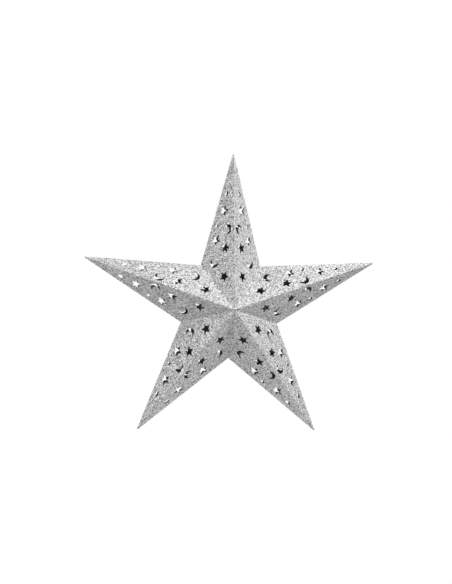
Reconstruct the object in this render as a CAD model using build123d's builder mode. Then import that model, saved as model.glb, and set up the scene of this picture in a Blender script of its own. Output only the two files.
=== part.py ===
"""A five-pointed folding paper star lantern: glitter card panels that hinge on their creases.

The star hangs by the tip of its top arm, and that tip is the origin.
+Z is up, +X is to the right and the front of the star faces -Y. Sizes are in millimetres.

Each arm is a long pyramid of four panels: front left, front right, back left and back right.
Left and right are as seen from the front, looking from the star's centre out along the arm.
Panels meet in a ridge along the arm, in a valley between two arms, and at the star's rim.
The star folds flat like an accordion, because its bottom valley is a seam that comes apart.
"""

import os
from math import cos, radians, sin

from build123d import *

# Driving dimensions
ARMS = 5
TIP_RADIUS = 300.0  # star centre to the tip of an arm
NOTCH_RADIUS = 99.0  # star centre to the notch between two arms
HALF_DEPTH = 80.0  # rim plane to the front or back apex
CARD = 0.4  # glitter card thickness
EDGE_GAP = 0.15  # from a crease to the edge of a panel
RIM_GAP = 0.45  # from the rim plane to a panel, so that front and back clear as they fold
APEX_RELIEF = 1.0  # radius left open where ten corners meet
TIP_TRIM = 1.5  # length nipped off the sharp tip
NOTCH_TRIM = 0.6  # radius left open where four corners meet

# Punched shapes
STAR_RADIUS = 11.5  # centre to point
STAR_WAIST = 5.3  # centre to inner corner
MOON = 10.0  # crescent's outer radius
MOON_BITE = 7.7  # radius of the circle that hollows it
MOON_SHIFT = 4.4  # from the crescent's centre to the bite's centre
DOT_RADIUS = 3.6
LOZENGE_LENGTH = 11.0
LOZENGE_WIDTH = 7.5

# The pattern on every panel: kind, share of the ridge's length from the tip, share of the panel's
# depth there, and turn. Shares keep each shape on the card when the star changes size
PATTERN = [
    ("lozenge", 0.255, 0.56, -20),
    ("star", 0.36, 0.54, 12),
    ("dot", 0.45, 0.77, 0),
    ("moon", 0.485, 0.26, -65),
    ("star", 0.54, 0.68, -8),
    ("star", 0.60, 0.295, 20),
    ("moon", 0.683, 0.59, 155),
    ("star", 0.78, 0.425, 5),
]

# Hanging holes in the top arm, beside its ridge
HANG_ALONG = 24.0
HANG_DOWN = 4.6
HANG_RADIUS = 1.5

# Glue flaps: strips inside the star that join one panel to the next
FLAP_WIDTH = 8.0
RIM_FLAP_WIDTH = 6.0
FLAP_THICK = 0.3
FLAP_EDGE = 0.6  # from the crease to the flap
VALLEY_FLAP = (34.0, 115.0)  # from the apex, down the valley
RIM_FLAP = (55.0, 210.0)  # from the tip, along the rim

# Eyelets beside the seam
EYELET_DOWN_VALLEY = (60.0, 100.0)  # from the apex
EYELET_INSET = 7.0  # from the seam to the eyelet's centre
EYELET_BORE = 1.5
EYELET_BARREL = 1.9
EYELET_FLANGE = 2.8
EYELET_ROLL = 0.25  # flange thickness on each face
HOLE_PLAY = 0.05

HALF_SECTOR = radians(180.0 / ARMS)

# One panel in the star's own frame: its arm along +X, the front towards +Z, the notch at +Y
TIP = Vector(TIP_RADIUS, 0, 0)
APEX = Vector(0, 0, HALF_DEPTH)
NOTCH = Vector(cos(HALF_SECTOR), sin(HALF_SECTOR), 0) * NOTCH_RADIUS
INTO_SECTOR = Vector(sin(HALF_SECTOR), -cos(HALF_SECTOR), 0)  # off the valley plane
RIDGE_DIR = (APEX - TIP).normalized()
VALLEY_DIR = (NOTCH - APEX).normalized()
RIM_DIR = (NOTCH - TIP).normalized()
OUTWARD = RIM_DIR.cross(RIDGE_DIR).normalized()
RIDGE_LENGTH = (APEX - TIP).length
NOTCH_ALONG = (NOTCH - TIP).dot(RIDGE_DIR)
NOTCH_DOWN = ((NOTCH - TIP) - RIDGE_DIR * NOTCH_ALONG).length

# Sketch planes on the panel's inner face. X runs along one edge, and the panel is at -Y
RIDGE_SKETCH = Plane(origin=TIP, x_dir=RIDGE_DIR, z_dir=OUTWARD)
VALLEY_SKETCH = Plane(origin=APEX, x_dir=VALLEY_DIR, z_dir=OUTWARD)
# On the rim's plane the panel is at +Y
RIM_SKETCH = Plane(origin=TIP, x_dir=RIM_DIR, z_dir=OUTWARD)

# The part's frame: the star stands up, and the tip of its top arm is the origin
STAR_FRAME = Plane(origin=(0, 0, -TIP_RADIUS), x_dir=(1, 0, 0), z_dir=(0, -1, 0))


def panel_depth(along):
    """How far the panel reaches down from its ridge, this far from the tip."""
    if along < NOTCH_ALONG:
        return NOTCH_DOWN * along / NOTCH_ALONG
    return NOTCH_DOWN * (RIDGE_LENGTH - along) / (RIDGE_LENGTH - NOTCH_ALONG)


def five_points():
    """The ten corners of a punched star."""
    corners = []
    for step in range(10):
        reach = STAR_WAIST if step % 2 else STAR_RADIUS
        corners.append((reach * cos(radians(36 * step)), reach * sin(radians(36 * step))))
    return corners


def punched(kind):
    """A sketch of one punched shape, centred on the origin."""
    with BuildSketch() as shape:
        if kind == "dot":
            Circle(DOT_RADIUS)
        elif kind == "lozenge":
            Ellipse(LOZENGE_LENGTH / 2, LOZENGE_WIDTH / 2)
        elif kind == "moon":
            Circle(MOON)
            with Locations((MOON_SHIFT, 0)):
                Circle(MOON_BITE, mode=Mode.SUBTRACT)
        else:
            Polygon(*five_points(), align=None)
    return shape.sketch


def make_panel(extra_holes, extra_radius):
    """One card panel with its punched pattern, and any round holes that it needs besides."""
    spare = 4 * CARD  # the panel starts oversize, and the planes that it shares trim it
    with BuildPart() as panel:
        with BuildSketch(RIDGE_SKETCH):
            far = RIDGE_LENGTH + spare
            outline = [(0, spare), (far, spare), (far, -spare), (NOTCH_ALONG, -NOTCH_DOWN - spare)]
            Polygon(*outline, (0, -spare), align=None)
            for kind, along_share, depth_share, turn in PATTERN:
                along = along_share * RIDGE_LENGTH
                down = depth_share * panel_depth(along)
                with Locations(Location((along, -down, 0), (0, 0, turn))):
                    add(punched(kind), mode=Mode.SUBTRACT)
            if extra_holes:
                with Locations(*extra_holes):
                    Circle(extra_radius, mode=Mode.SUBTRACT)
        extrude(amount=CARD)
        split(bisect_by=Plane(origin=(0, EDGE_GAP, 0), z_dir=(0, 1, 0)))
        split(bisect_by=Plane(origin=INTO_SECTOR * EDGE_GAP, z_dir=INTO_SECTOR))
        split(bisect_by=Plane(origin=(0, 0, RIM_GAP), z_dir=(0, 0, 1)))
        split(bisect_by=Plane(origin=TIP - Vector(TIP_TRIM, 0, 0), z_dir=(-1, 0, 0)))
        Cylinder(APEX_RELIEF, 4 * HALF_DEPTH, mode=Mode.SUBTRACT)
        with Locations(NOTCH):
            Cylinder(NOTCH_TRIM + CARD, 4 * CARD, mode=Mode.SUBTRACT)
    return panel.part


def make_flap(plane, span, width, side):
    """A glue flap with tapered ends, on the inner face beside one edge of the panel."""
    start, stop = span
    far = FLAP_EDGE + width
    corners = [(start, FLAP_EDGE), (stop, FLAP_EDGE), (stop - width, far), (start + width, far)]
    with BuildPart() as flap:
        with BuildSketch(plane):
            Polygon(*[(along, side * inward) for along, inward in corners], align=None)
        extrude(amount=-FLAP_THICK)
    return flap.part


def make_eyelets():
    """The pair of eyelets set in one seam panel: a barrel with a rolled flange on each face."""
    low, high = -EYELET_ROLL, CARD + EYELET_ROLL
    with BuildPart() as eyelets:
        for height, radius, thick in (
            (low, EYELET_BARREL, high - low),
            (low, EYELET_FLANGE, EYELET_ROLL),
            (CARD, EYELET_FLANGE, EYELET_ROLL),
        ):
            with BuildSketch(VALLEY_SKETCH.offset(height)):
                with Locations(*EYELET_SPOTS):
                    Circle(radius)
                    Circle(EYELET_BORE, mode=Mode.SUBTRACT)
            extrude(amount=thick)
    return eyelets.part


def place_and_save(name, shape, arm, side, face):
    """Mirrors one shape to its side and face, turns it to its arm and writes its STEP file."""
    if side == "right":
        shape = mirror(shape, about=Plane.XZ)
    if face == "back":
        shape = mirror(shape, about=Plane.XY)
    with BuildPart() as piece:
        add(STAR_FRAME.location * Location((0, 0, 0), (0, 0, 90 - 360 / ARMS * arm)) * shape)
    piece.part.label = name
    export_step(piece.part, f"parts/{name}.step")


os.makedirs("parts", exist_ok=True)
ARM_NAMES = ["top", "right", "lower_right", "lower_left", "left"]
EYELET_SPOTS = [(along, -EYELET_INSET) for along in EYELET_DOWN_VALLEY]
eyelet_holes = [
    RIDGE_SKETCH.to_local_coords(VALLEY_SKETCH.from_local_coords(Vector(*spot, 0)))
    for spot in EYELET_SPOTS
]

plain_panel = make_panel([], 0)
hanging_panel = make_panel([(HANG_ALONG, -HANG_DOWN)], HANG_RADIUS)
seam_panel = make_panel([(spot.X, spot.Y) for spot in eyelet_holes], EYELET_BARREL + HOLE_PLAY)
valley_flap = make_flap(VALLEY_SKETCH, VALLEY_FLAP, FLAP_WIDTH, -1)
rim_flap = make_flap(RIM_SKETCH, RIM_FLAP, RIM_FLAP_WIDTH, 1)
eyelets = make_eyelets()

for arm, arm_name in enumerate(ARM_NAMES):
    for face in ("front", "back"):
        for side in ("left", "right"):
            shape = plain_panel
            if arm_name == "top":
                shape = hanging_panel
            elif (arm_name, side) in (("lower_right", "right"), ("lower_left", "left")):
                shape = seam_panel
                place_and_save(f"{arm_name}_arm_{face}_eyelets", eyelets, arm, side, face)
            place_and_save(f"{arm_name}_arm_{face}_{side}_panel", shape, arm, side, face)
        # Four of the valleys are glued, on the panel whose left edge is the valley
        if arm_name != "lower_left":
            place_and_save(f"{arm_name}_arm_{face}_valley_flap", valley_flap, arm, "left", face)
    place_and_save(f"{arm_name}_arm_rim_flap", rim_flap, arm, "left", "back")
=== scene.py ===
# %% [markdown]
# # A folding paper star lantern
# Five deep arms of silver glitter card, folded along ridges and valleys and punched with small
# stars and crescents. The rigid model comes in first as a fixed frame. Every piece made here
# replaces one of its panels and rides on the same body, so that the star still folds.

# %% Load the frame
import math

import bpy
import numpy as np
from mathutils import Matrix, Vector
from mathutils.geometry import delaunay_2d_cdt


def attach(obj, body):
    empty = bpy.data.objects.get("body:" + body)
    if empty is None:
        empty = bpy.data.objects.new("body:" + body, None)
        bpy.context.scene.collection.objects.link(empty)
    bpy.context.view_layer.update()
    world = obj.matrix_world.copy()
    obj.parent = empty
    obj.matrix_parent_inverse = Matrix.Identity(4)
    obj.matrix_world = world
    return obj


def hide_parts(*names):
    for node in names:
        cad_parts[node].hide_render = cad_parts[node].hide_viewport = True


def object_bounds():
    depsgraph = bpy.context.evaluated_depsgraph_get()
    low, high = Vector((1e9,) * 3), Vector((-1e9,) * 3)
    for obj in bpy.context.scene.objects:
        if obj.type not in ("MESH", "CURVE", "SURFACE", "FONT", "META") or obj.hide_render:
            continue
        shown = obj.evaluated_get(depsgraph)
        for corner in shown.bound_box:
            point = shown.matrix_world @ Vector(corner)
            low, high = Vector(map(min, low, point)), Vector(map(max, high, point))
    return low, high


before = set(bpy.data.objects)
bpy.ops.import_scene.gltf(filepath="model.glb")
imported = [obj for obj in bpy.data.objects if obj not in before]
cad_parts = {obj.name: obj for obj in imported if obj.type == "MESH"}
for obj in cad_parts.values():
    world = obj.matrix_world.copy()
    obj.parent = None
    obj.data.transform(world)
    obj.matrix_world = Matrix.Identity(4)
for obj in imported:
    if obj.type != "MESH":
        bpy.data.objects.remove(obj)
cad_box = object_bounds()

MM = 0.001

# %% [markdown]
# ## The size of the star
# A star like this is set out by three numbers: how far the tips reach, how far in the notches
# lie, and how high the apex stands. The frame was made from the same three, and its box is
# printed: it is as deep as two apex heights and a little narrower than the tips,
# which are clipped.

# %% Set out the star
CARD = 0.4 * MM
TIP_TRIM = 1.5 * MM
APEX_RELIEF = 1.0 * MM
TIP_RADIUS = 300 * MM
NOTCH_RADIUS = 0.33 * TIP_RADIUS
HALF_DEPTH = 80 * MM
CENTRE = np.array([0.0, 0.0, -TIP_RADIUS])
ARM_NAMES = ["top", "right", "lower_right", "lower_left", "left"]
SECTOR = math.radians(36)
print("box of the frame, mm", [round((b - a) / MM, 1) for a, b in zip(*cad_box)])

# %% [markdown]
# ## One panel, flat
# Each panel is cut from flat card as a triangle: the tip, the apex and the notch. On the flat
# panel, u runs along the ridge from the tip and v runs away from the ridge. The corner of the
# notch follows from the three edge lengths. Every panel is the same triangle, which is why one
# die can punch a whole folded arm.

# %% The flat triangle
RIDGE = math.hypot(TIP_RADIUS, HALF_DEPTH)
VALLEY = math.hypot(NOTCH_RADIUS, HALF_DEPTH)
RIM = math.hypot(TIP_RADIUS - NOTCH_RADIUS * math.cos(SECTOR), NOTCH_RADIUS * math.sin(SECTOR))
NOTCH_U = (RIDGE**2 + RIM**2 - VALLEY**2) / (2 * RIDGE)
NOTCH_V = math.sqrt(RIM**2 - NOTCH_U**2)
TRIANGLE = np.array([[0, 0], [RIDGE, 0], [NOTCH_U, NOTCH_V]])
print("ridge, valley and rim, mm", [round(x / MM, 1) for x in (RIDGE, VALLEY, RIM)])

# %% [markdown]
# ## The punched pattern
# Craft punches leave stars and crescents 20 to 23 mm across, with round dots between them. Each
# outline is a closed loop of points, worked out as an array: a star swaps between two radii,
# and a crescent is an outer arc closed by the arc of the circle that bites into it.

# %% Outlines of the punched shapes
STAR_RADIUS, STAR_WAIST = 11.5 * MM, 5.3 * MM
MOON, MOON_BITE, MOON_SHIFT = 10.0 * MM, 7.7 * MM, 4.4 * MM


def star_outline():
    """Ten corners, at the outer and the inner radius in turn."""
    angle = np.radians(36 * np.arange(10))
    reach = np.where(np.arange(10) % 2 == 0, STAR_RADIUS, STAR_WAIST)
    return np.stack([reach * np.cos(angle), reach * np.sin(angle)], axis=1)


def ellipse_outline(half_length, half_width, steps=20):
    """Points evenly spaced in angle on an ellipse."""
    angle = np.arange(steps) * 2 * math.pi / steps
    return np.stack([half_length * np.cos(angle), half_width * np.sin(angle)], axis=1)


def moon_outline(steps=16):
    """The outer arc from horn to horn, then the bite's arc back, both without their ends."""
    horn_x = (MOON**2 - MOON_BITE**2 + MOON_SHIFT**2) / (2 * MOON_SHIFT)
    outer_end = math.acos(horn_x / MOON)
    bite_end = math.atan2(math.sin(outer_end) * MOON, horn_x - MOON_SHIFT)
    outer = np.linspace(outer_end, 2 * math.pi - outer_end, steps)
    bite = np.linspace(2 * math.pi - bite_end, bite_end, steps)[1:-1]
    arc = np.stack([np.cos(outer), np.sin(outer)], axis=1) * MOON
    hollow = np.stack([np.cos(bite), np.sin(bite)], axis=1) * MOON_BITE + [MOON_SHIFT, 0]
    return np.concatenate([arc, hollow])


SHAPES = {
    "star": star_outline(),
    "moon": moon_outline(),
    "dot": ellipse_outline(3.6 * MM, 3.6 * MM),
    "lozenge": ellipse_outline(5.5 * MM, 3.75 * MM),
}
# Kind, share of the ridge's length, share of the panel's depth there, and turn in degrees
PATTERN = [
    ("lozenge", 0.255, 0.56, 20),
    ("star", 0.36, 0.54, -12),
    ("dot", 0.45, 0.77, 0),
    ("moon", 0.485, 0.26, 65),
    ("star", 0.54, 0.68, 8),
    ("star", 0.60, 0.295, -20),
    ("moon", 0.683, 0.59, -155),
    ("star", 0.78, 0.425, -5),
]


def placed(outline, u, v, turn):
    """The outline turned about its own centre, then moved to (u, v) on the panel."""
    c, s = math.cos(math.radians(turn)), math.sin(math.radians(turn))
    return outline @ np.array([[c, s], [-s, c]]) + [u, v]


def panel_depth(u):
    """Depth of the triangle below the ridge: it rises to the notch and falls to the apex."""
    return NOTCH_V * min(u / NOTCH_U, (RIDGE - u) / (RIDGE - NOTCH_U))


punched = [
    placed(SHAPES[kind], at * RIDGE, deep * panel_depth(at * RIDGE), turn)
    for kind, at, deep, turn in PATTERN
]
print("punched shapes on a panel", len(punched))

# %% [markdown]
# ## Extra holes
# Thread goes through a hole on each side of the top ridge, and eyelets sit beside the open
# seam. Both are round, so they use the same ellipse. The eyelets are measured from the apex
# down the valley, so their place on the panel follows from the valley's direction.

# %% Hanging holes and eyelet holes
HANG_AT, HANG_RADIUS = (24.0 * MM, 4.6 * MM), 1.5 * MM
EYELET_DOWN = (60.0 * MM, 100.0 * MM)
EYELET_INSET, EYELET_HOLE = 7.0 * MM, 1.95 * MM
down_valley = (TRIANGLE[2] - TRIANGLE[1]) / VALLEY
off_valley = np.array([-down_valley[1], down_valley[0]])
hang_holes = [ellipse_outline(HANG_RADIUS, HANG_RADIUS) + HANG_AT]
eyelet_round = ellipse_outline(EYELET_HOLE, EYELET_HOLE)
eyelet_holes = [
    eyelet_round + TRIANGLE[1] + down_valley * d + off_valley * EYELET_INSET for d in EYELET_DOWN
]
print("eyelet centres, mm", [np.round(h.mean(axis=0) / MM, 1).tolist() for h in eyelet_holes])

# %% [markdown]
# ## Cutting the panel
# A flat shape with holes is a job for a constrained triangulation: it keeps every outline as
# an edge and fills the rest with a grid of points. The grid matters, because card that has
# been folded is never quite flat, and the bow needs points to bend at. Triangles whose middle
# lies inside a hole are thrown away.

# %% Triangulate a panel
GRID = 6.0 * MM
ROW_SHARE = 0.87  # of GRID between rows, which makes the triangles nearly equal-sided
EDGE_CLEAR = 0.4  # of GRID kept free of grid points along the edges
HOLE_CLEAR = 0.25  # of GRID kept free round a hole
TIP_CLIP_SHARE = 1.5  # how much further than TIP_TRIM the tip's two edges are clipped
MERGE_WITHIN = 1e-7
CREASE_GAP = 0.04 * MM


def inside(points, outline):
    """True where a point lies in a closed outline, by how often a ray from it meets the outline."""
    x, y = points[:, None, 0], points[:, None, 1]
    a, b = outline[None], np.roll(outline, -1, axis=0)[None]
    spans = (a[..., 1] > y) != (b[..., 1] > y)
    rise = np.where(b[..., 1] == a[..., 1], 1.0, b[..., 1] - a[..., 1])
    cross = a[..., 0] + (y - a[..., 1]) * (b[..., 0] - a[..., 0]) / rise
    return (spans & (x < cross)).sum(axis=1) % 2 == 1


def edge_distance(points):
    """Distance inwards from the ridge, the valley and the rim, one column each."""
    ridge = points[:, 1]
    valley = (points - TRIANGLE[1]) @ off_valley
    along = TRIANGLE[2] / RIM
    rim = points[:, 0] * along[1] - points[:, 1] * along[0]
    return np.stack([ridge, valley, rim], axis=1)


def panel_outline():
    """The triangle with its three corners clipped, and points along the edges for the bow."""
    relief = [TIP_TRIM * TIP_CLIP_SHARE, APEX_RELIEF, APEX_RELIEF]
    corners = []
    for i in range(3):
        here, before, after = TRIANGLE[i], TRIANGLE[i - 1], TRIANGLE[(i + 1) % 3]
        for other in (before, after):
            corners.append(here + (other - here) / np.linalg.norm(other - here) * relief[i])
    loop = []
    for start, end in zip(corners, corners[1:] + corners[:1]):
        steps = max(1, int(np.linalg.norm(end - start) / GRID))
        share = np.arange(steps)[:, None] / steps
        loop.append(start + (end - start) * share)
    return np.concatenate(loop)


def cut_panel(holes):
    """Points and triangles of a flat panel with these outlines cut out of it."""
    outline = panel_outline()
    u, v = np.meshgrid(np.arange(0, RIDGE, GRID), np.arange(0, NOTCH_V, GRID * ROW_SHARE))
    u = u + (np.arange(u.shape[0]) % 2)[:, None] * GRID / 2
    grid = np.stack([u.ravel(), v.ravel()], axis=1)
    keep = edge_distance(grid).min(axis=1) > GRID * EDGE_CLEAR
    for hole in holes:
        reach = np.linalg.norm(grid[:, None] - hole[None], axis=2).min(axis=1)
        keep &= ~inside(grid, hole) & (reach > GRID * HOLE_CLEAR)
    loops = [outline] + list(holes)
    points = np.concatenate(loops + [grid[keep]])
    starts = np.cumsum([0] + [len(loop) for loop in loops])
    edges = [
        (a + i, a + (i + 1) % (b - a)) for a, b in zip(starts, starts[1:]) for i in range(b - a)
    ]
    found = delaunay_2d_cdt([Vector(p) for p in points], edges, [], 0, MERGE_WITHIN)
    flat = np.array([tuple(p) for p in found[0]])
    triangles = np.array(found[2])
    middle = flat[triangles].mean(axis=1)
    solid = inside(middle, outline)
    for hole in holes:
        solid &= ~inside(middle, hole)
    return flat, triangles[solid]


CUTS = {
    "plain": cut_panel(punched),
    "hanging": cut_panel(punched + hang_holes),
    "seam": cut_panel(punched + eyelet_holes),
}
print("triangles in a plain panel", len(CUTS["plain"][1]))

# %% [markdown]
# ## From flat to folded
# The folded panel is the flat one laid into space: a corner, plus u times the ridge's
# direction, plus v times the direction away from it. A second layer, one card thickness
# outwards, makes it solid. At the three creases this outer layer is mitred, so that two
# neighbours meet in one clean line instead of leaving a groove.

# %% Fold one panel


def star_point(radius, degrees, height):
    """A point of the star, from its distance from the centre, its direction and its depth."""
    turn = math.radians(degrees)
    return CENTRE + [radius * math.cos(turn), -height, radius * math.sin(turn)]


def triangle_in_space(arm, side, face):
    """Tip, apex and notch of one panel where it stands in the star."""
    towards = 90 - 72 * arm
    half = 36 if side == "left" else -36
    front = 1 if face == "front" else -1
    tip = star_point(TIP_RADIUS, towards, 0)
    apex = star_point(0, 0, front * HALF_DEPTH)
    notch = star_point(NOTCH_RADIUS, towards + half, 0)
    return tip, apex, notch


def mitres():
    """How far the outer layer leans over each crease, per unit of thickness."""
    tip, apex, notch = triangle_in_space(0, "left", "front")
    normal = np.cross(apex - tip, notch - tip)
    normal /= np.linalg.norm(normal)
    normal *= -np.sign(normal[1])
    across = np.array([1.0, 0.0, 0.0])
    beside = np.array([math.cos(SECTOR), 0.0, math.sin(SECTOR)])
    sines = [abs(normal @ across), abs(normal @ beside), abs(normal[1])]
    lean = [math.tan(math.asin(s)) for s in sines]
    return np.array([lean[0], -lean[1], lean[2]])


MITRE = mitres()
print("lean at ridge, valley and rim", np.round(MITRE, 3).tolist())

# %% [markdown]
# The bow is a soft dome that is zero on every crease: the product of the distances from the
# three edges, scaled to its largest value. Each panel gets its own height and a slow ripple,
# because no two are handled alike. Half a millimetre is plenty: more would bulge like a cushion.

# %% Build a panel
BOW = 0.45 * MM
RIPPLE = 0.22 * MM
RIPPLE_LENGTH = 95 * MM
BOW_RANGE = (-0.2, 1.0)  # share of BOW that a panel may have; below zero it bows inwards
DOME_POWER = 0.6  # below 1, the dome rises sooner from its edges
ON_EDGE = 0.01 * MM
rng = np.random.default_rng(5)


def bow_height(flat, lift, phase):
    """A dome from the product of the edge distances, plus a ripple that fades with it."""
    edge = np.clip(edge_distance(flat), 0, None)
    dome = edge.prod(axis=1)
    dome = np.clip(dome / dome.max(), 0, 1) ** DOME_POWER
    wave = np.sin(flat[:, 0] * 2 * math.pi / RIPPLE_LENGTH + phase)
    return dome * (lift + RIPPLE * wave)


def boundary_edges(triangles):
    """The directed edges that only one triangle has."""
    edges = np.concatenate([triangles[:, [0, 1]], triangles[:, [1, 2]], triangles[:, [2, 0]]])
    order = np.sort(edges, axis=1)
    _, where, count = np.unique(order, axis=0, return_inverse=True, return_counts=True)
    return edges[count[where.ravel()] == 1]


def make_mesh(name, points, faces, marks):
    """A mesh object from arrays, with each face's material number in marks."""
    mesh = bpy.data.meshes.new(name)
    mesh.from_pydata(points.tolist(), [], [list(map(int, f)) for f in faces])
    mesh.polygons.foreach_set("material_index", np.asarray(marks, dtype=np.int32))
    mesh.update()
    piece = bpy.data.objects.new(name, mesh)
    bpy.context.scene.collection.objects.link(piece)
    return piece


def build_panel(name, cut, arm, side, face):
    """Inner and outer layers of one folded panel, joined by a rim round every cut edge."""
    flat, triangles = cut
    tip, apex, notch = triangle_in_space(arm, side, face)
    along = (apex - tip) / RIDGE
    away = (notch - tip) - along * ((notch - tip) @ along)
    away /= np.linalg.norm(away)
    out = np.cross(along, away)
    out *= np.sign(out[1]) * (-1 if face == "front" else 1)
    bow = bow_height(flat, BOW * rng.uniform(*BOW_RANGE), rng.uniform(0, 2 * math.pi))

    rim_in = np.array([TRIANGLE[2][1], -TRIANGLE[2][0]]) / RIM
    inward = np.array([[0, 1], off_valley, rim_in])
    near = edge_distance(flat) < ON_EDGE
    shut = (near[:, :, None] * inward[None] * CREASE_GAP).sum(axis=1)
    lean = (near[:, :, None] * inward[None] * -MITRE[None, :, None] * CARD).sum(axis=1)

    def lay(uv, height):
        """Flat points, at a height over the panel's plane, in the star."""
        return tip + uv[:, :1] * along + uv[:, 1:] * away + height[:, None] * out

    inner = lay(flat + shut, bow)
    outer = lay(flat + shut + lean, bow + CARD)
    count = len(flat)
    if np.dot(np.cross(along, away), out) < 0:
        triangles = triangles[:, ::-1]
    rim = boundary_edges(triangles)
    walls = np.stack([rim[:, 0], rim[:, 1], rim[:, 1] + count, rim[:, 0] + count], axis=1)
    faces = [*(triangles + count).tolist(), *triangles[:, ::-1].tolist(), *walls.tolist()]
    marks = [0] * len(triangles) + [1] * (len(triangles) + len(walls))
    return make_mesh(name, np.concatenate([inner, outer]), faces, marks)


# %% [markdown]
# ## Colour and nodes
# Colours are written as sRGB hex values, as a paint card gives them, and turned to the linear
# numbers that the shader works in. One helper adds a node, sets it up and links it.

# %% Helpers for materials


def colour(hex_value):
    """Linear colour of an sRGB hex value such as c8c9cc."""
    channels = [int(hex_value[i : i + 2], 16) / 255 for i in (0, 2, 4)]
    linear = [c / 12.92 if c <= 0.04045 else ((c + 0.055) / 1.055) ** 2.4 for c in channels]
    return (*linear, 1.0)


def add_node(tree, kind, settings=None, **inputs):
    """A node with its settings, and each input set to a value or linked from a socket."""
    node = tree.nodes.new(kind)
    for key, value in (settings or {}).items():
        setattr(node, key, value)
    for key, value in inputs.items():
        number = key[1:]
        socket = node.inputs[int(number) if number.isdigit() else key.replace("_", " ")]
        if isinstance(value, bpy.types.NodeSocket):
            tree.links.new(value, socket)
        else:
            socket.default_value = value
    return node


def new_material(name):
    """An empty material, with its tree and its output node."""
    material = bpy.data.materials.new(name)
    material.use_nodes = True
    tree = material.node_tree
    tree.nodes.clear()
    return material, tree, tree.nodes.new("ShaderNodeOutputMaterial")


def ramp_colours(node, stops):
    """Sets a colour ramp to these (place, colour) stops."""
    elements = node.color_ramp.elements
    for i, (place, value) in enumerate(stops):
        element = elements[i] if i < 2 else elements.new(place)
        element.position = place
        element.color = value
    return node


# %% [markdown]
# ## Glitter card
# Glitter card is card under a coat of tiny foil flakes in clear glue. Each flake is a flat
# mirror that lies at its own slight tilt, so a panel sparkles in points and still has one
# overall tone. A Voronoi pattern gives one cell to a flake: its random colour picks how bright
# the flake is, and the same random numbers tilt the surface under it. Real flakes are 0.4 mm
# across, too fine to show at arm's length, so they are drawn three or four times that size.

# %% Material: silver glitter card
FLAKE = 1.5 * MM
SCUFF = 60 * MM
FLAKE_TILT = 0.40


def silver_glitter_card():
    """Foil flakes of several greys, each tilted its own way, over a slow unevenness in the coat."""
    material, tree, output = new_material("silver_glitter_card")
    place = add_node(tree, "ShaderNodeTexCoord").outputs["Object"]
    flake = add_node(tree, "ShaderNodeTexVoronoi", Vector=place, Scale=1 / FLAKE)
    pick = add_node(tree, "ShaderNodeSeparateColor", Color=flake.outputs["Color"])
    greys = add_node(tree, "ShaderNodeValToRGB", Fac=pick.outputs["Red"])
    stops = [(0.0, "4c4d4e"), (0.28, "b2b3b4"), (0.65, "dfdfdf"), (1.0, "ffffff")]
    ramp_colours(greys, [(at, colour(value)) for at, value in stops])
    coat = add_node(tree, "ShaderNodeTexNoise", Vector=place, Scale=1 / SCUFF, Detail=3.0)
    uneven = add_node(tree, "ShaderNodeMapRange", Value=coat.outputs["Fac"])
    uneven.inputs["To Min"].default_value = 0.90
    uneven.inputs["To Max"].default_value = 1.08
    tone = add_node(
        tree,
        "ShaderNodeVectorMath",
        {"operation": "MULTIPLY"},
        _0=greys.outputs["Color"],
        _1=uneven.outputs["Result"],
    )
    centred = add_node(
        tree,
        "ShaderNodeVectorMath",
        {"operation": "SUBTRACT"},
        _0=flake.outputs["Color"],
        _1=(0.5, 0.5, 0.5),
    )
    tilt = add_node(
        tree,
        "ShaderNodeVectorMath",
        {"operation": "SCALE"},
        _0=centred.outputs["Vector"],
        Scale=FLAKE_TILT,
    )
    facing = add_node(tree, "ShaderNodeNewGeometry").outputs["Normal"]
    leaning = add_node(
        tree, "ShaderNodeVectorMath", _0=facing, _1=tilt.outputs["Vector"]
    ).outputs["Vector"]
    normal = add_node(tree, "ShaderNodeVectorMath", {"operation": "NORMALIZE"}, _0=leaning)
    rough = add_node(tree, "ShaderNodeMapRange", Value=pick.outputs["Green"])
    rough.inputs["To Min"].default_value = 0.32
    rough.inputs["To Max"].default_value = 0.62
    shader = add_node(
        tree,
        "ShaderNodeBsdfPrincipled",
        Base_Color=tone.outputs["Vector"],
        Roughness=rough.outputs["Result"],
        Normal=normal.outputs["Vector"],
        Metallic=0.2,
    )
    tree.links.new(shader.outputs["BSDF"], output.inputs["Surface"])
    return material


# %% [markdown]
# ## Plain card
# The back of the card and its cut edges are bare pulp board: matte, grey and slightly
# fibrous. Its grey is kept dark partly as painted shade, so that the closed inside of the star
# reads dim through the punched shapes. It is what shows through the punched shapes, and what the
# glue flaps are made of.

# %% Material: bare card
FIBRE = 1.2 * MM


def pulp_card_with_painted_shade():
    """Grey board with short fibres that change its colour a little and roughen it; the dark grey is
    partly painted shade of the star's inside.
    """
    material, tree, output = new_material("pulp_card_with_painted_shade")
    place = add_node(tree, "ShaderNodeTexCoord").outputs["Object"]
    fibre = add_node(tree, "ShaderNodeTexNoise", Vector=place, Scale=1 / FIBRE, Detail=4.0)
    tone = add_node(tree, "ShaderNodeValToRGB", Fac=fibre.outputs["Fac"])
    # painted shade: these greys are kept dark so that the inside, seen through the holes, looks dim
    ramp_colours(tone, [(0.3, colour("6c6b69")), (0.7, colour("83827f"))])
    bump = add_node(
        tree, "ShaderNodeBump", Height=fibre.outputs["Fac"], Strength=0.25, Distance=0.1 * MM
    )
    shader = add_node(
        tree,
        "ShaderNodeBsdfPrincipled",
        Base_Color=tone.outputs["Color"],
        Roughness=0.9,
        Normal=bump.outputs["Normal"],
    )
    tree.links.new(shader.outputs["BSDF"], output.inputs["Surface"])
    return material


# %% [markdown]
# ## Nickel eyelets
# The eyelets are thin brass tube rolled over by a press and plated with nickel: warm grey,
# fairly smooth, with faint rings where the setting tool turned on them.

# %% Material: nickel plate
TOOL_MARK = 0.5 * MM


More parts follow.
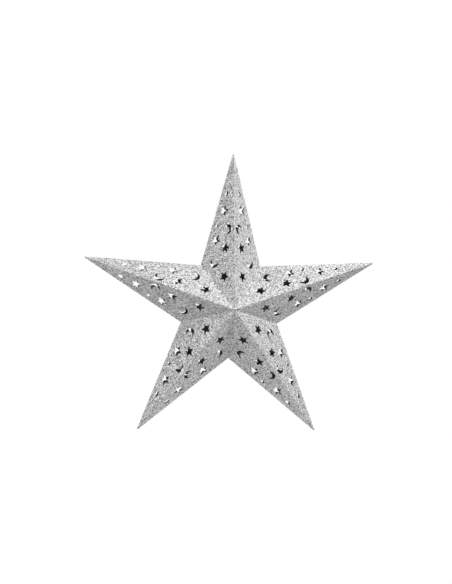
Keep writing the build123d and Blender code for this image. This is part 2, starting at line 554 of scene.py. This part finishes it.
def nickel_plate():
    """Polished nickel whose roughness changes over fine tool marks."""
    material, tree, output = new_material("nickel_plated_brass")
    place = add_node(tree, "ShaderNodeTexCoord").outputs["Object"]
    marks = add_node(tree, "ShaderNodeTexNoise", Vector=place, Scale=1 / TOOL_MARK, Detail=3.0)
    rough = add_node(tree, "ShaderNodeMapRange", Value=marks.outputs["Fac"])
    rough.inputs["To Min"].default_value = 0.18
    rough.inputs["To Max"].default_value = 0.36
    tone = add_node(tree, "ShaderNodeValToRGB", Fac=marks.outputs["Fac"])
    ramp_colours(tone, [(0.3, colour("bdb8ae")), (0.7, colour("d0ccc3"))])
    shader = add_node(
        tree,
        "ShaderNodeBsdfPrincipled",
        Base_Color=tone.outputs["Color"],
        Roughness=rough.outputs["Result"],
        Metallic=1.0,
    )
    tree.links.new(shader.outputs["BSDF"], output.inputs["Surface"])
    return material


# %% Make the three materials
GLITTER = silver_glitter_card()
PULP_AND_PAINTED_SHADE = pulp_card_with_painted_shade()
NICKEL = nickel_plate()
print("materials", [m.name for m in (GLITTER, PULP_AND_PAINTED_SHADE, NICKEL)])

# %% [markdown]
# ## Twenty panels
# The same three cuts make the whole star. Each panel replaces the plain one in the frame,
# rides on the same body, and carries glitter outside and bare card inside, darkened with painted
# shade.

# %% Build the star
for arm, arm_name in enumerate(ARM_NAMES):
    for face in ("front", "back"):
        for side in ("left", "right"):
            kind = "hanging" if arm_name == "top" else "plain"
            if (arm_name, side) in (("lower_right", "right"), ("lower_left", "left")):
                kind = "seam"
            body = f"{arm_name}_arm_{face}_{side}"
            piece = build_panel(f"{body}_card", CUTS[kind], arm, side, face)
            piece.data.materials.append(GLITTER)
            piece.data.materials.append(PULP_AND_PAINTED_SHADE)
            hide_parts(f"{body}_panel")
            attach(piece, body)
            print(piece.name, "triangles", len(piece.data.polygons))

# %% [markdown]
# ## Flaps and eyelets
# The glue flaps and the eyelets are already the right shape in the frame, so they only get
# their finish.

# %% Finish the carried-over pieces
for name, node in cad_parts.items():
    finish = NICKEL if name.endswith("eyelets") else PULP_AND_PAINTED_SHADE
    if name.endswith(("eyelets", "flap")):
        node.data.materials.clear()
        node.data.materials.append(finish)
print("finished", sum(n.endswith(("eyelets", "flap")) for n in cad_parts), "pieces")

# %% [markdown]
# ## Studio
# The star hangs in the air, well above a pale floor that bounces light up under it. The
# background is the world itself, which is white only to the camera and through clear surfaces.
# It is much dimmer as a light and in reflections, so it doesn't wash out the card.

# %% Floor and world
FLOOR_DROP = 0.55
FLOOR_HALF = 0.75
FLOOR_LIFT = 0.8


def painted_floor():
    """Matte off-white paint that the camera sees mixed with white, so its edge fades away."""
    material, tree, output = new_material("matte_floor_paint")
    paint = add_node(
        tree, "ShaderNodeBsdfPrincipled", Base_Color=colour("f2f2f0"), Roughness=0.9
    ).outputs["BSDF"]
    glow = add_node(tree, "ShaderNodeEmission", Color=colour("ffffff")).outputs["Emission"]
    camera_ray = add_node(tree, "ShaderNodeLightPath").outputs["Is Camera Ray"]
    share = add_node(
        tree, "ShaderNodeMath", {"operation": "MULTIPLY"}, _0=camera_ray, _1=FLOOR_LIFT
    )
    mixed = add_node(tree, "ShaderNodeMixShader", _0=share.outputs["Value"], _1=paint, _2=glow)
    tree.links.new(mixed.outputs["Shader"], output.inputs["Surface"])
    return material


floor_z = cad_box[0][2] - FLOOR_DROP
corner = np.array([[-1, -1], [1, -1], [1, 1], [-1, 1]]) * FLOOR_HALF
floor_points = np.column_stack([corner, np.full(4, floor_z)])
floor = make_mesh("studio_floor", floor_points, [[0, 1, 2, 3]], [0])
floor.data.materials.append(painted_floor())

AMBIENT = 0.28
world = bpy.data.worlds.new("studio_white")
world.use_nodes = True
bpy.context.scene.world = world
sky = world.node_tree
sky.nodes.clear()
rays = add_node(sky, "ShaderNodeLightPath").outputs
seen = add_node(
    sky,
    "ShaderNodeMath",
    {"operation": "MAXIMUM"},
    _0=rays["Is Camera Ray"],
    _1=rays["Is Transmission Ray"],
)
level = add_node(sky, "ShaderNodeMapRange", Value=seen.outputs["Value"])
level.inputs["To Min"].default_value = AMBIENT
level.inputs["To Max"].default_value = 1.0
white = add_node(
    sky, "ShaderNodeBackground", Color=colour("ffffff"), Strength=level.outputs["Result"]
)
world_out = sky.nodes.new("ShaderNodeOutputWorld")
sky.links.new(white.outputs["Background"], world_out.inputs["Surface"])

# %% [markdown]
# ## Lights
# A wide soft light above and a little to the right makes the upward panels the lightest and
# leaves the downward ones grey, which is what shows the depth of the folds. A weak front fill and
# one from the left keep the shaded panels open, and one from behind lights the back half.

# %% Area lights


def area_light(name, place, size, watts):
    """A square soft light at a place round the star's centre, aimed at the centre."""
    lamp = bpy.data.lights.new(name, "AREA")
    lamp.shape = "SQUARE"
    lamp.size = size
    lamp.energy = watts
    lamp_object = bpy.data.objects.new(name, lamp)
    bpy.context.scene.collection.objects.link(lamp_object)
    offset = Vector(place)
    lamp_object.location = Vector(CENTRE) + offset
    lamp_object.rotation_euler = offset.to_track_quat("Z", "Y").to_euler()
    return lamp_object


area_light("key_above", (1.1, -1.3, 1.5), 0.8, 44)
area_light("front_fill", (0.3, -2.6, 0.3), 2.0, 3)
area_light("left_fill", (-1.8, -1.1, 0.66), 1.0, 12)
area_light("back_fill", (-0.7, 2.3, 1.1), 1.6, 18)

# %% [markdown]
# ## Camera
# The star is seen nearly straight on, from two and a half metres, a few degrees above it and a
# few degrees to one side. The three turns say how the star is turned to the camera: a lean
# forward, a swing sideways and a slight roll.

# %% Place the camera
DISTANCE = 2.54
LEAN, SWING, ROLL = (math.radians(a) for a in (3.7, 7.4, -1.47))
LENS_MM = 80.06
SHIFT = (-0.006, 0.026)  # of the frame's longer side


def turned():
    """The lean, swing and roll as one rotation in axes of right, up and towards the viewer."""
    turn = Matrix.Rotation(LEAN, 3, "X") @ Matrix.Rotation(SWING, 3, "Y")
    return turn @ Matrix.Rotation(ROLL, 3, "Z")


# Rows of the turn are the camera's right, up and back; the star's up is +Z and its front -Y
basis = [Vector((row[0], -row[2], row[1])) for row in turned()]
camera_data = bpy.data.cameras.new("camera")
camera_data.sensor_fit = "AUTO"
camera_data.sensor_width = 36
camera_data.lens = LENS_MM
camera_data.shift_x, camera_data.shift_y = SHIFT
camera = bpy.data.objects.new("camera", camera_data)
bpy.context.scene.collection.objects.link(camera)
place = Matrix((basis[0], basis[1], basis[2])).transposed().to_4x4()
place.translation = Vector(CENTRE) + basis[2] * DISTANCE
camera.matrix_world = place
bpy.context.scene.camera = camera
bpy.context.scene.view_settings.view_transform = "Standard"
print("lens, mm", round(camera_data.lens, 1))
